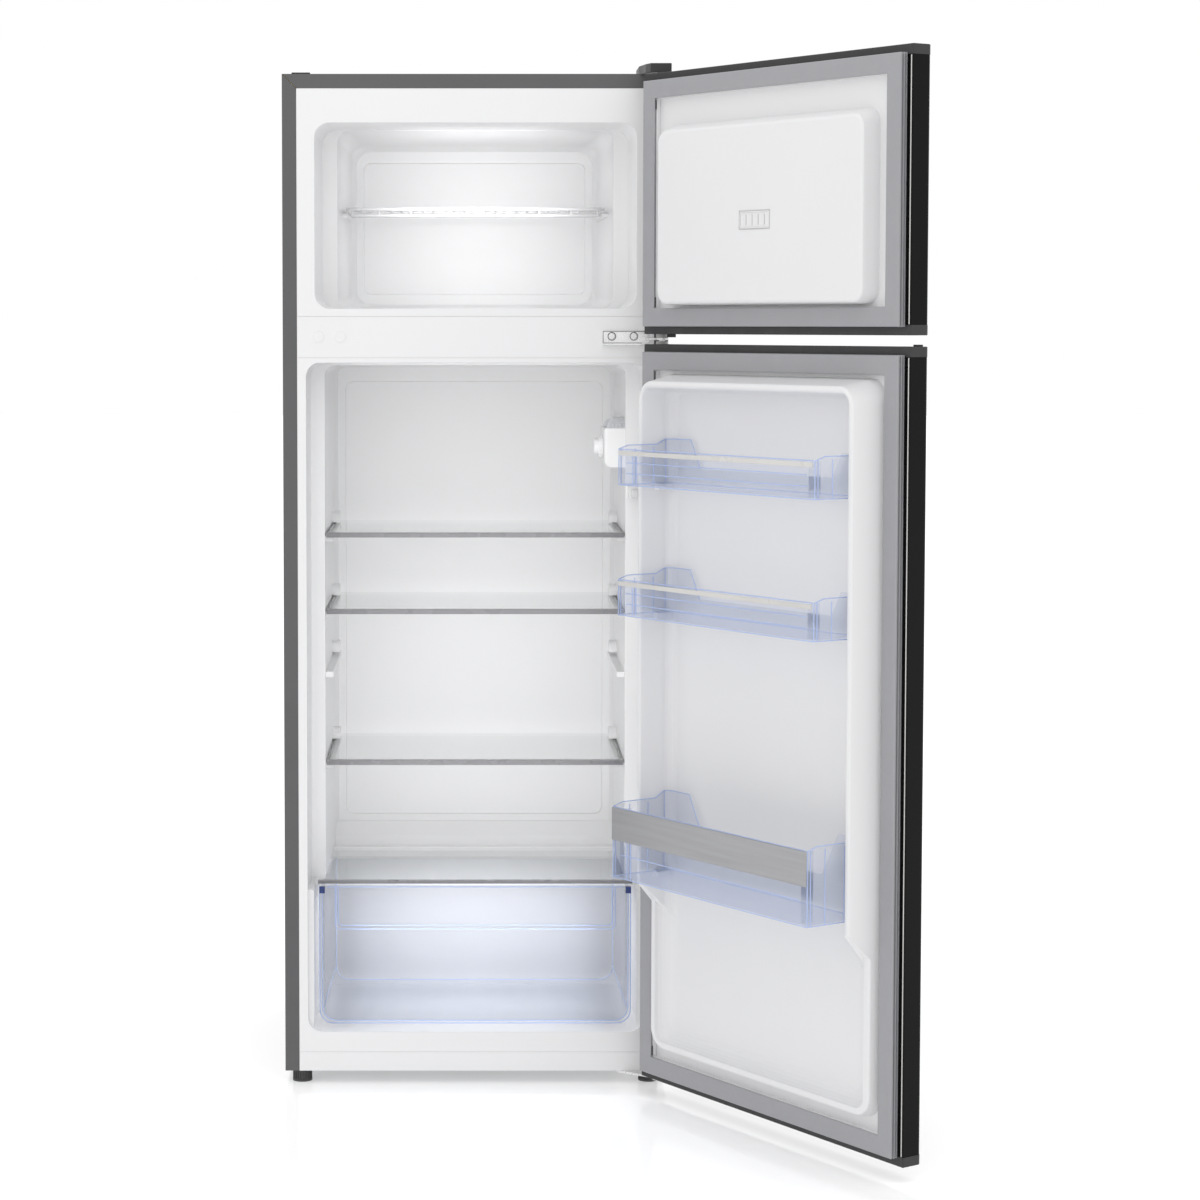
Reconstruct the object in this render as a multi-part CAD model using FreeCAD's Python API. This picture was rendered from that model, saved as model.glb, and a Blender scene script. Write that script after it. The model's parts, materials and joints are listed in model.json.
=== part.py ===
import FreeCAD, Part
import math
import os

V = FreeCAD.Vector
os.makedirs("parts", exist_ok=True)

# ---------------------------------------------------------------- driving dimensions (mm)
# +Z up, +X to the right seen from the front, the front faces -Y. The functions below work about the
# middle of the cabinet's footprint; save() moves every piece to the row's origin, which is on the
# floor under the front left foot.
CAB_W = 545.0
CAB_D = 505.0
CAB_TOP = 1439.0
CAB_BOTTOM = 18.0
SHEET = 0.8
PLASTIC = 1.6
FLANGE = 20.0
SEAM = 0.3
MITRE = 1.4
HALF_W = CAB_W / 2
FACE_HALF = HALF_W - FLANGE - SEAM

# front face of the cabinet, bottom to top
STRIP_TOP = 45.0
FRIDGE_Z = (74.5, 1033.5)
BEAM_Z = (1040.5, 1098.5)
FREEZER_Z = (1109.5, 1371.5)
FRIDGE_HALF = 240.0
FREEZER_HALF = 227.5

# depths are measured from the front face of the cabinet
STEP_DEPTH = 100.0
WALL_HALF = 218.5
FRIDGE_DEPTH = 440.0
CRISPER_HALF = 232.0
CRISPER_SIDE = 231.5
CRISPER_TOP = 278.0
HUMP_DEPTH = 292.0
BAY_DEPTH = 330.0
BAY_TOP = 228.0
FREEZER_LEDGE = 60.0
FREEZER_DEPTH = 395.0

# doors, described shut; REST_ANGLE opens them
REST_ANGLE = 123.8
PIN_X = 261.2
PIN_DEPTH = -35.0
SKIN_DEPTH = -43.0
DOOR_BACK = -12.0
FREEZER_DOOR_Z = (1074.0, 1435.0)
FRIDGE_DOOR_Z = (21.5, 1060.0)
CAP_H = 13.0
GASKET_H = 11.5
PIN_R = 4.0
PIN_GAP = 0.05
BUSH_R = 7.0

# front feet and the row's origin
FOOT_X = 249.0
FOOT_DEPTH = 20.0
ROW_ORIGIN = V(-FOOT_X, -CAB_D / 2 + FOOT_DEPTH, 0)

# shelves
WIRE_SHELF_Z = 1253.0
SHELF_Z = (779.5, 667.5, 446.0)
SPARE_SUPPORT_Z = 580.0
SHELF_HALF = 216.5
GLASS = 4.0
CRISPER_GLASS_Z = CRISPER_TOP + 4.1
CRISPER_GLASS = 3.2


def dep(d):
    """Y of a depth behind the front face of the cabinet."""
    return -CAB_D / 2 + d


def box(x0, x1, d0, d1, z0, z1):
    return Part.makeBox(x1 - x0, d1 - d0, z1 - z0, V(x0, dep(d0), z0))


def cyl(r, x, d, z, height, axis=V(0, 0, 1)):
    return Part.makeCylinder(r, height, V(x, dep(d), z), axis)


def join(shapes):
    out = shapes[0]
    for s in shapes[1:]:
        out = out.fuse(s)
    return out.removeSplitter()


def round_rect(x0, x1, z0, z1, r, d):
    """Closed wire: rectangle with round corners in a plane of constant depth."""
    y = dep(d)
    edges = []
    corners = ((x1 - r, z1 - r, 0), (x0 + r, z1 - r, 90), (x0 + r, z0 + r, 180), (x1 - r, z0 + r, 270))
    last = None
    first = None
    for cx, cz, start in corners:
        pts = []
        for a in (start, start + 45, start + 90):
            pts.append(V(cx + r * math.cos(math.radians(a)), y, cz + r * math.sin(math.radians(a))))
        if last is not None:
            edges.append(Part.makeLine(last, pts[0]))
        edges.append(Part.Arc(*pts).toShape())
        if first is None:
            first = pts[0]
        last = pts[2]
    edges.append(Part.makeLine(last, first))
    return Part.Wire(edges)


def tub(*sections):
    """Solid through round rectangles, each given as (x0, x1, z0, z1, r, depth)."""
    return Part.makeLoft([round_rect(*s) for s in sections], True, True)


def even_tub(*sections):
    """The same, for sections (half width, z0, z1, r, depth) centred on X."""
    return tub(*[(-h, h, z0, z1, r, d) for h, z0, z1, r, d in sections])


def side_prism(outline, x0, x1):
    """Outline of (depth, z) points extruded along X."""
    pts = [V(x0, dep(d), z) for d, z in outline]
    return Part.Face(Part.makePolygon(pts + pts[:1])).extrude(V(x1 - x0, 0, 0))


def plan_prism(outline, z0, z1):
    """Outline of (x, depth) points extruded upwards."""
    pts = [V(x, dep(d), z0) for x, d in outline]
    return Part.Face(Part.makePolygon(pts + pts[:1])).extrude(V(0, 0, z1 - z0))


def front_prism(outline, d0, d1):
    """Outline of (x, z) points extruded to the back."""
    pts = [V(x, dep(d0), z) for x, z in outline]
    return Part.Face(Part.makePolygon(pts + pts[:1])).extrude(V(0, d1 - d0, 0))


def ring(profile, half, z0, z1):
    """Mitred rectangular ring; profile is a closed list of (inset from the edge, depth)."""
    loops = []
    for inset, d in profile:
        x = half - inset
        y = dep(d)
        loops.append([V(-x, y, z0 + inset), V(x, y, z0 + inset), V(x, y, z1 - inset), V(-x, y, z1 - inset)])
    faces = []
    for a, b in zip(loops, loops[1:] + loops[:1]):
        for k in range(4):
            m = (k + 1) % 4
            faces.append(Part.Face(Part.makePolygon([a[k], a[m], b[m], b[k], a[k]])))
    shell = Part.makeCompound(faces)
    shell.sewShape()
    solid = Part.Solid(shell.Shells[0])
    if solid.Volume < 0:
        solid.reverse()
    return solid


def pipe(points, bend, r):
    """Round pipe along (x, depth, z) points with bent corners."""
    pts = [V(x, dep(d), z) for x, d, z in points]
    edges = []
    start = pts[0]
    for a, b, c in zip(pts, pts[1:], pts[2:]):
        u = (a - b).normalize()
        w = (c - b).normalize()
        half = u.getAngle(w) / 2
        back = bend / math.tan(half)
        p0 = b + u * back
        p1 = b + w * back
        middle = b + (u + w).normalize() * (bend / math.sin(half) - bend)
        edges.append(Part.makeLine(start, p0))
        edges.append(Part.Arc(p0, middle, p1).toShape())
        start = p1
    edges.append(Part.makeLine(start, pts[-1]))
    spine = Part.Wire(edges)
    circle = Part.Wire(Part.makeCircle(r, pts[0], pts[1] - pts[0]))
    return spine.makePipeShell([circle], True, False)


def edges_at_depth(shape, d):
    y = dep(d)
    return [e for e in shape.Edges if all(abs(v.Y - y) < 0.01 for v in e.Vertexes)]


def soften(shape, d, r):
    """Rounds every edge lying in the plane at one depth."""
    return shape.makeFillet(r, edges_at_depth(shape, d))


def save(name, shape):
    shape.translated(-ROW_ORIGIN).exportStep("parts/" + name + ".step")


def save_group(name, solids):
    save(name, Part.makeCompound(solids))


# ---------------------------------------------------------------- cabinet
def outer_shell():
    z0, z1 = CAB_BOTTOM, CAB_TOP
    wrap = box(-HALF_W, HALF_W, 0, CAB_D, z0, z1)
    wrap = wrap.cut(box(-HALF_W + SHEET, HALF_W - SHEET, -1, CAB_D + 1, z0 - 1, z1 - SHEET))
    inner = HALF_W - FLANGE
    front = box(-HALF_W, HALF_W, 0, SHEET, z0, z1)
    front = front.cut(box(-inner, inner, -1, 2, z0 - 1, z1 - FLANGE))
    lip = HALF_W - 12
    rear = box(-HALF_W, HALF_W, CAB_D - SHEET, CAB_D, z0, z1)
    rear = rear.cut(box(-lip, lip, CAB_D - 2, CAB_D + 1, z0 - 1, z1 - 12))
    return join([wrap, front, rear]).cut(mitre_slits(SHEET))


def mitre_slits(depth):
    """Diagonal joints between the flanges at the two top corners of the front."""
    slits = []
    for s in (-1, 1):
        out, inside = s * (HALF_W + 1), s * (HALF_W - FLANGE - 1)
        low, high = CAB_TOP - FLANGE - 1, CAB_TOP + 1
        corner = [(out, high + MITRE), (out, high), (inside, low), (inside, low + MITRE)]
        slits.append(front_prism(corner, -1, depth))
    return join(slits)


def freezer_cavity(t):
    """Space inside the freezer liner, grown by t."""
    z0, z1 = FREEZER_Z
    deep = FREEZER_LEDGE + t
    mouth = even_tub(
        (FREEZER_HALF + t, z0 - t, z1 + t, 22 + t, -1),
        (219 + t, z0 + 0.5 - t, z1 - 7.5 + t, 22 + t, deep),
    )
    bend = 30.0
    half = FREEZER_DEPTH - bend
    inner = even_tub(
        (197.5 + t, z0 + 1 - t, z1 - 8 + t, 16 + t, deep - 2 * t - 1),
        (188.5 + t, z0 + 3 - t, z1 - 12 + t, 20 + t, half),
        (182 + t, z0 + 8 - t, z1 - 18 + t, 24 + t, FREEZER_DEPTH + t),
    )
    plate = even_tub(
        (173.5 + t, z0 + 21.5 - t, z1 - 33.5 + t, 12 + t, FREEZER_DEPTH - 5),
        (170 + t, z0 + 25 - t, z1 - 37 + t, 10 + t, FREEZER_DEPTH + 4 + t),
    )
    return join([mouth, inner, plate])


def freezer_liner():
    plate = box(-FACE_HALF, FACE_HALF, 0, PLASTIC, BEAM_Z[1] + SEAM, CAB_TOP - FLANGE - SEAM)
    body = plate.fuse(freezer_cavity(PLASTIC).common(box(-260, 260, 0, CAB_D, 0, CAB_TOP)))
    rail_z = WIRE_SHELF_Z - 4
    rails = []
    for s in (-1, 1):
        near, far = sorted((s * 186.0, s * 202.0))
        rails.append(box(near, far, 150, 340, rail_z - 5, rail_z))
    liner = body.cut(freezer_cavity(0))
    rails = [r.common(freezer_cavity(PLASTIC / 2)) for r in rails]
    return join([liner] + rails)


def hump(t):
    """Body over the compressor that reaches into the fridge space, with the drain gutter behind it."""
    outline = [
        (HUMP_DEPTH + t, 0),
        (HUMP_DEPTH + t, 250 - t),
        (HUMP_DEPTH + 16 + t, 262 - t),
        (HUMP_DEPTH + 66, 268 - t),
        (HUMP_DEPTH + 70, 276 - t),
        (HUMP_DEPTH + 84, 276 - t),
        (HUMP_DEPTH + 90, 262 - t),
        (HUMP_DEPTH + 112, 262 - t),
        (HUMP_DEPTH + 124, 284 - t),
        (FRIDGE_DEPTH - 4 + t, 304 - t),
        (FRIDGE_DEPTH + 20, 304 - t),
        (FRIDGE_DEPTH + 20, 0),
    ]
    return side_prism(outline, -260, 260)


def fridge_cavity(t):
    """Space inside the fridge liner, grown by t."""
    z0, z1 = FRIDGE_Z
    mouth = even_tub(
        (FRIDGE_HALF + t, z0 - t, z1 + t, 20 + t, -1),
        (FRIDGE_HALF - 1.5 + t, z0 + 1 - t, z1 - 2 + t, 20 + t, STEP_DEPTH + t),
    )
    for s in (-1, 1):
        near, far = sorted((s * (CRISPER_SIDE + t), s * 260))
        mouth = mouth.cut(box(near, far, 9 + t, STEP_DEPTH + 3, 0, CRISPER_TOP + 0.4 - t))
    mouth = mouth.removeSplitter()
    bend = 14.0
    upper = even_tub(
        (WALL_HALF + t, 200 - t, z1 - 5 + t, 16 + t, STEP_DEPTH - 2 * t - 1),
        (WALL_HALF + t, 200 - t, z1 - 7 + t, 16 + t, FRIDGE_DEPTH - bend),
        (WALL_HALF - 5 + t, 204 - t, z1 - 12 + t, 14 + t, FRIDGE_DEPTH + t),
    )
    upper = upper.common(box(-260, 260, 0, CAB_D, CRISPER_TOP - 8 - t, CAB_TOP))
    crisper = even_tub(
        (CRISPER_HALF + t, z0 + 1 - t, CRISPER_TOP + t, 16 + t, STEP_DEPTH - 2 * t - 1),
        (CRISPER_HALF - 2 + t, z0 + 1 - t, CRISPER_TOP + t, 16 + t, HUMP_DEPTH + t),
    )
    plate = even_tub(
        (204 + t, 312 - t, 1000 + t, 14 + t, FRIDGE_DEPTH - 5),
        (201 + t, 315 - t, 997 + t, 12 + t, FRIDGE_DEPTH + 4 + t),
    )
    space = join([mouth, upper, plate]).cut(hump(t))
    return join([space, crisper])


def shelf_support(s, z):
    """Rib under one shelf end and the scallop above it that holds the shelf down."""
    near, far = sorted((s * (WALL_HALF - 11.0), s * (WALL_HALF + 0.8)))
    rib = box(near, far, STEP_DEPTH + 16, 392, z - 8.0, z - 0.4)
    top = z + GLASS + 1.2
    near, far = sorted((s * (WALL_HALF - 12.0), s * (WALL_HALF + 0.8)))
    arch = cyl(17, near, 340, top, far - near, V(1, 0, 0))
    arch = arch.common(box(near, far, 300, 392, top, top + 40))
    groove = cyl(11, near, 340, top, 3.0, V(1, 0, 0))
    if s > 0:
        arch = arch.cut(groove)
    else:
        arch = arch.cut(cyl(11, far - 3.0, 340, top, 3.0, V(1, 0, 0)))
    return [rib, arch]


def fridge_liner():
    plate = box(-FACE_HALF, FACE_HALF, 0, PLASTIC, STRIP_TOP + SEAM, BEAM_Z[0] - SEAM)
    body = plate.fuse(fridge_cavity(PLASTIC).common(box(-260, 260, 0, CAB_D, 0, CAB_TOP)))
    liner = body.cut(fridge_cavity(0))
    supports = []
    for z in SHELF_Z + (SPARE_SUPPORT_Z,):
        for s in (-1, 1):
            supports += shelf_support(s, z)
    for s in (-1, 1):
        near, far = sorted((s * 224.5, s * (CRISPER_SIDE + 0.8)))
        supports.append(box(near, far, 56, 92, CRISPER_TOP - 2.5, CRISPER_GLASS_Z - 0.4))
    guide = box(221, 236, 62, STEP_DEPTH + 0.8, 836.5, 853.5)
    guide = guide.cut(box(224.2, 232.8, 50, STEP_DEPTH - 2, 839.7, 850.3))
    return join([liner] + supports + [guide])


def cabinet_foam():
    top = CAB_TOP - SHEET
    inner = HALF_W - SHEET
    foam = box(-inner, inner, PLASTIC, CAB_D - 2 * SHEET - 1.0, CAB_BOTTOM + 1.2, top)
    foam = foam.cut(freezer_cavity(PLASTIC))
    foam = foam.cut(fridge_cavity(PLASTIC))
    foam = foam.cut(box(-300, 300, BAY_DEPTH, CAB_D + 1, 0, BAY_TOP + 1.2))
    for s in (-1, 1):
        foam = foam.cut(cyl(8, s * FOOT_X, FOOT_DEPTH, 0, 50))
    return foam.cut(mitre_slits(PLASTIC + 3))


def back_panel():
    inner = HALF_W - SHEET
    d1 = CAB_D - SHEET
    panel = box(-inner, inner, d1 - 1.0, d1, BAY_TOP + 1.2, CAB_TOP - SHEET)
    for z in (420, 620, 820, 1020, 1220):
        panel = panel.cut(box(-200, 200, d1 - 0.4, d1 + 1, z, z + 26))
    panel = panel.cut(cyl(7.1, -190, d1 - 2, 262, 4, V(0, 1, 0)))
    return panel


def base_deck():
    inner = HALF_W - SHEET
    floor = box(-inner, inner, PLASTIC + 0.2, BAY_DEPTH, CAB_BOTTOM, CAB_BOTTOM + 1.2)
    wall = box(-inner, inner, BAY_DEPTH, BAY_DEPTH + 1.2, CAB_BOTTOM, BAY_TOP + 1.2)
    roof = box(-inner, inner, BAY_DEPTH, CAB_D - SHEET, BAY_TOP, BAY_TOP + 1.2)
    deck = join([floor, wall, roof])
    for s in (-1, 1):
        deck = deck.cut(cyl(4.1, s * FOOT_X, FOOT_DEPTH, 0, 40))
    return deck.cut(cyl(3, 0, 450, BAY_TOP - 1, 4))


def compressor_tray():
    inner = HALF_W - SHEET
    floor = box(-inner, inner, BAY_DEPTH + 1.2, CAB_D - SHEET, CAB_BOTTOM, CAB_BOTTOM + 2)
    lip = box(-inner + 13, inner - 13, CAB_D - SHEET - 2, CAB_D - SHEET, CAB_BOTTOM, CAB_BOTTOM + 16)
    tray = join([floor, lip])
    for x in (-170, -120, 200):
        tray = tray.cut(box(x, x + 10, 380, 460, 0, 30))
    return tray


PLUG_X = (-221.8, -191.2)
PLUG_Z = 1070.0


def bottom_strip():
    return box(-FACE_HALF, FACE_HALF, 0, PLASTIC, CAB_BOTTOM, STRIP_TOP)


def beam_cover():
    plate = box(-FACE_HALF, FACE_HALF, 0, PLASTIC, BEAM_Z[0], BEAM_Z[1])
    for x in PLUG_X:
        plate = plate.cut(cyl(6.2, x, -1, PLUG_Z, 4, V(0, 1, 0)))
    return plate


def beam_plugs():
    plugs = []
    for x in PLUG_X:
        head = cyl(7.6, x, -1.2, PLUG_Z, 1.2, V(0, 1, 0))
        head = soften(head, -1.2, 0.6)
        stem = cyl(6.2, x, -0.4, PLUG_Z, 0.4 + PLASTIC, V(0, 1, 0))
        plugs.append(head.fuse(stem).removeSplitter())
    return plugs


# ---------------------------------------------------------------- feet


def front_foot(x, height):
    """Ribbed plastic foot on a threaded stud."""
    foot = cyl(12.6, x, FOOT_DEPTH, 0, height)
    foot = foot.fuse(cyl(14, x, FOOT_DEPTH, 0, 3))
    foot = foot.fuse(cyl(13.6, x, FOOT_DEPTH, height - 2, 2))
    ribs = 24
    for k in range(ribs):
        rib = box(12.0, 13.8, -0.7, 0.7, 2, height - 1)
        rib.translate(V(0, CAB_D / 2, 0))
        rib.rotate(V(0, 0, 0), V(0, 0, 1), k * 360.0 / ribs)
        rib.translate(V(x, dep(FOOT_DEPTH), 0))
        foot = foot.fuse(rib)
    stud = cyl(4.0, x, FOOT_DEPTH, height - 1, 42 - height)
    return foot.fuse(stud).removeSplitter()


def rear_feet():
    feet = []
    for s in (-1, 1):
        foot = cyl(17, s * 232, 466, 0, CAB_BOTTOM)
        base = foot.makeFillet(2.5, [e for e in foot.Edges if e.BoundBox.ZMax < 0.01])
        feet.append(base)
    return feet


# ---------------------------------------------------------------- hinges
def hinge_plate(x0, x1, d_back, z0, z1):
    nose = 9.5
    outline = [(x0, d_back), (x0, 2), (PIN_X - nose, PIN_DEPTH + 6), (PIN_X - nose, PIN_DEPTH)]
    outline += [(PIN_X + nose, PIN_DEPTH), (x1, 2), (x1, d_back)]
    plate = plan_prism(outline, z0, z1)
    return join([plate, cyl(nose, PIN_X, PIN_DEPTH, z0, z1 - z0)])


def top_hinge():
    z0 = CAB_TOP
    plate = hinge_plate(234, 269.5, 62, z0, z0 + 2.5)
    pin = cyl(PIN_R, PIN_X, PIN_DEPTH, FREEZER_DOOR_Z[1] - 12, z0 + 14.5 - FREEZER_DOOR_Z[1])
    hinge = join([plate, pin])
    for x, d in TOP_SCREWS:
        hinge = hinge.cut(cyl(2.6, x, d, z0 - 1, 6))
    return hinge


TOP_SCREWS = ((241.0, 20.0), (261.0, 20.0), (251.0, 50.0))
MIDDLE_SCREWS = ((192.6, 1071.0), (223.8, 1071.0))
BOTTOM_SCREWS = ((214.0, 30.0), (214.0, 52.0), (262.0, 52.0))


def hood_outline(wall):
    """Plan of the top hinge hood, drawn in by a wall thickness."""
    x0, x1 = 230 + wall, 272.4 - wall
    tip = PIN_DEPTH - 12 + wall
    return [(x0, 72 - wall), (x0, 6 + wall / 2), (PIN_X - 24 + wall, PIN_DEPTH + 4), (PIN_X - 18 + wall, tip),
            (x1, tip), (x1, 72 - wall)]


def top_hinge_cover():
    """Plastic hood over the top hinge."""
    z0 = CAB_TOP
    hood = plan_prism(hood_outline(0), z0 - 1.5, z0 + 11)
    hood = hood.makeFillet(1.0, [e for e in hood.Edges if e.BoundBox.ZLength > 5])
    rim = [e for e in hood.Edges if e.BoundBox.ZMin > z0 + 10.99]
    hood = hood.makeFillet(0.8, rim)
    hood = hood.cut(plan_prism(hood_outline(1.5), z0 - 2, z0 + 9))
    return hood.cut(box(150, 300, -0.4, 90, z0 - 3, z0))


def spare_hinge_cap():
    """Flat cap over the unused hinge holes on the left."""
    cap = box(-259, -233, 4, 44, CAB_TOP, CAB_TOP + 2.4)
    rim = [e for e in cap.Edges if all(abs(v.Z - CAB_TOP - 2.4) < 0.01 for v in e.Vertexes)]
    return cap.makeFillet(1.0, rim)


def middle_hinge():
    """Plate on the centre beam with a joggled arm that carries a pin for both doors."""
    z0, z1 = 1058.4, 1078.0
    arm_z = 1065.6
    plate = box(180, 244, -2.5, 0, z0, z1)
    lip = box(180, 236, -7, 0, z0, z0 + 2.5)
    bend = [(232, z0), (240, z0), (250, arm_z), (250, arm_z + 3), (246, arm_z + 3), (236, z0 + 4)]
    joggle = front_prism(bend, -9, -1.5)
    nose = 9.0
    arm = plan_prism([(240, -1.5), (240, -16), (PIN_X - nose, PIN_DEPTH + 2), (PIN_X - nose, PIN_DEPTH),
                      (PIN_X + nose, PIN_DEPTH), (PIN_X + nose, -16), (262, -1.5)], arm_z, arm_z + 3)
    tip = cyl(nose, PIN_X, PIN_DEPTH, arm_z, 3)
    pin = cyl(PIN_R, PIN_X, PIN_DEPTH, FRIDGE_DOOR_Z[1] - 12, FREEZER_DOOR_Z[0] - FRIDGE_DOOR_Z[1] + 24)
    hinge = join([plate, lip, joggle, arm, tip, pin])
    for x, z in MIDDLE_SCREWS:
        hinge = hinge.cut(cyl(2.6, x, -4, z, 6, V(0, 1, 0)))
    return hinge


def bottom_hinge():
    z1 = CAB_BOTTOM
    plate = hinge_plate(204, 270.5, 66, z1 - 3, z1)
    pin = cyl(PIN_R, PIN_X, PIN_DEPTH, z1 - 3, FRIDGE_DOOR_Z[0] - z1 + 3 + 12)
    hinge = join([plate, pin])
    hinge = hinge.cut(cyl(4.1, FOOT_X, FOOT_DEPTH, 0, 30))
    for x, d in BOTTOM_SCREWS:
        hinge = hinge.cut(cyl(2.6, x, d, z1 - 5, 6))
    return hinge


def screw(x, d, z, axis):
    """Pan head screw; axis points from the head into the work, z and d are at the head's seat."""
    seat = V(x, dep(d), z)
    head = Part.makeCylinder(4.6, 2.4, seat - axis * 2.4, axis)
    face = min(head.Faces, key=lambda f: (f.CenterOfMass - (seat - axis * 2.4)).Length)
    head = head.makeFillet(1.2, face.Edges)
    shank = Part.makeCylinder(2.5, 6.0, seat - axis * 0.5, axis)
    body = head.fuse(shank).removeSplitter()
    reach = 6.4
    for k in (0, 1):
        slot = Part.makeBox(5.2, 1.0, reach, V(-2.6, -0.5, -reach + 1.2))
        slot.rotate(V(0, 0, 0), V(0, 0, 1), 90 * k)
        turn = FreeCAD.Rotation(V(0, 0, 1), axis)
        slot.Placement = FreeCAD.Placement(V(0, 0, 0), turn).multiply(slot.Placement)
        slot.translate(seat - axis * 2.4)
        body = body.cut(slot)
    return body


def hinge_screws():
    screws = []
    for x, d in TOP_SCREWS:
        screws.append(screw(x, d, CAB_TOP + 2.5, V(0, 0, -1)))
    for x, z in MIDDLE_SCREWS:
        screws.append(screw(x, -2.5, z, V(0, 1, 0)))
    for x, d in BOTTOM_SCREWS:
        screws.append(screw(x, d, CAB_BOTTOM - 3, V(0, 0, 1)))
    return screws


def screw_clearance(shape):
    """Drills the sheets behind the hinge screws."""
    for x, d in TOP_SCREWS:
        shape = shape.cut(cyl(2.6, x, d, CAB_TOP - 5, 6))
    for x, z in MIDDLE_SCREWS:
        shape = shape.cut(cyl(2.6, x, -1, z, 6, V(0, 1, 0)))
    for x, d in BOTTOM_SCREWS:
        shape = shape.cut(cyl(2.6, x, d, CAB_BOTTOM - 1, 6))
    return shape


# ---------------------------------------------------------------- compressor bay
COMP_X = 60.0
COMP_D = 414.0
COMP_Z = 38.0


def compressor():
    """Welded can on a foot plate with four ears."""
    axis = V(0, 0, 1)
    can = cyl(70, COMP_X, COMP_D, COMP_Z, 118)
    can = can.makeFillet(26, [e for e in can.Edges if e.BoundBox.ZMin > COMP_Z + 117])
    can = can.makeFillet(14, [e for e in can.Edges if abs(e.BoundBox.ZMax - COMP_Z) < 0.01])
    seam = Part.makeCylinder(72.5, 5, V(COMP_X, dep(COMP_D), COMP_Z + 66), axis)
    plate = box(COMP_X - 98, COMP_X + 98, COMP_D - 40, COMP_D + 40, COMP_Z - 3, COMP_Z + 0.5)
    plate = plate.makeFillet(12, [e for e in plate.Edges if abs(e.BoundBox.ZLength - 3.5) < 0.01])
    body = join([can, seam, plate])
    for x, d in GROMMETS:
        body = body.cut(cyl(6, x, d, COMP_Z - 5, 8))
    return body


GROMMETS = [(COMP_X + sx * 86, COMP_D + sy * 28) for sx in (-1, 1) for sy in (-1, 1)]


def grommets():
    out = []
    base = CAB_BOTTOM + 2
    for x, d in GROMMETS:
        lower = cyl(10, x, d, base, COMP_Z - 3 - base)
        neck = cyl(5.9, x, d, COMP_Z - 3, 3.6)
        cap = cyl(8.5, x, d, COMP_Z + 0.6, 3)
        out.append(join([lower, neck, cap]))
    return out


def relay_cover():
    x0 = COMP_X + 68
    cover = box(x0, x0 + 44, COMP_D - 32, COMP_D + 32, COMP_Z + 74, COMP_Z + 120)
    cover = cover.makeFillet(4, [e for e in cover.Edges if e.BoundBox.XMin > x0 + 1])
    cover = cover.cut(cyl(72.8, COMP_X, COMP_D, COMP_Z, 130))
    return cover


def refrigerant_pipes():
    """Suction, discharge and process pipes of the compressor."""
    x, d, z = COMP_X, COMP_D, COMP_Z
    suction = pipe([(x - 69.9, d + 10, z + 84), (x - 110, d + 10, z + 84), (x - 110, d + 10, z + 150),
                    (x - 150, d + 60, z + 150), (x - 150, d + 60, BAY_TOP - 0.5)], 9, 4.0)
    discharge = pipe([(x - 71.5, d - 12, z + 40), (x - 130, d - 12, z + 40), (x - 130, d - 60, z + 40),
                      (x - 255, d - 60, z + 40), (x - 255, d - 60, BAY_TOP - 0.5)], 9, 3.0)
    process = pipe([(x - 66, d + 28, z + 30), (x - 96, d + 28, z + 30), (x - 96, d + 28, z + 76)], 8, 3.0)
    stub = cyl(3.6, x - 96, d + 28, z + 76, 10)
    drier = cyl(8.5, x - 200, d + 66, z + 60, 90)
    ends = drier.makeFillet(6, [e for e in drier.Edges if e.BoundBox.ZLength < 0.01])
    leads = [cyl(2.4, x - 200, d + 66, z + 149, BAY_TOP - z - 149.5)]
    low = pipe([(x - 200, d + 66, z + 61), (x - 200, d + 66, z + 30), (x - 250, d + 66, z + 30),
                (x - 250, d + 66, BAY_TOP - 0.5)], 9, 2.4)
    return [suction, discharge, process.fuse(stub).removeSplitter(), join([ends] + leads + [low])]


def drip_tray():
    z = COMP_Z + 122
    tray = tub_plan(COMP_X - 66, COMP_X + 58, COMP_D - 62, COMP_D + 62, z, z + 24, 12)
    tray = tray.cut(tub_plan(COMP_X - 64, COMP_X + 56, COMP_D - 60, COMP_D + 60, z + 2, z + 30, 10))
    for s in (-1, 1):
        leg = box(COMP_X - 12, COMP_X + 12, COMP_D + s * 30 - 6, COMP_D + s * 30 + 6, COMP_Z + 118, z + 1)
        tray = tray.fuse(leg)
    return tray.removeSplitter()


def tub_plan(x0, x1, d0, d1, z0, z1, r):
    """Upright block with round vertical corners."""
    block = box(x0, x1, d0, d1, z0, z1)
    height = z1 - z0
    return block.makeFillet(r, [e for e in block.Edges if abs(e.BoundBox.ZLength - height) < 0.01])


def cord_gland():
    """Inlet bush for the supply cord in the back panel."""
    flange = cyl(11, -190, CAB_D - SHEET, 262, 3, V(0, 1, 0))
    barrel = cyl(7, -190, CAB_D - 2.6, 262, 3, V(0, 1, 0))
    gland = flange.fuse(barrel).removeSplitter()
    return gland.cut(cyl(4, -190, CAB_D - 10, 262, 20, V(0, 1, 0)))


# ---------------------------------------------------------------- thermostat and switch
THERMO_D = (115.0, 225.0)
KNOB_D = 170.0
KNOB_Z = 908.0


THERMO_Z = (879.4, 936.5)
LAMP_TOP = 950.3


def thermostat_housing():
    x0, x1 = 188.5, WALL_HALF
    z0, z1 = THERMO_Z
    outline = [(x0 + 7, z0), (x1, z0), (x1, z1), (x0, z1), (x0, z0 + 7)]
    body = front_prism(outline, *THERMO_D)
    front = [e for e in body.Edges if e.BoundBox.XMax < x0 + 0.01]
    body = body.makeFillet(3, front)
    return body.cut(cyl(2.6, x0 - 1, KNOB_D, KNOB_Z, 12, V(1, 0, 0)))


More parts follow.
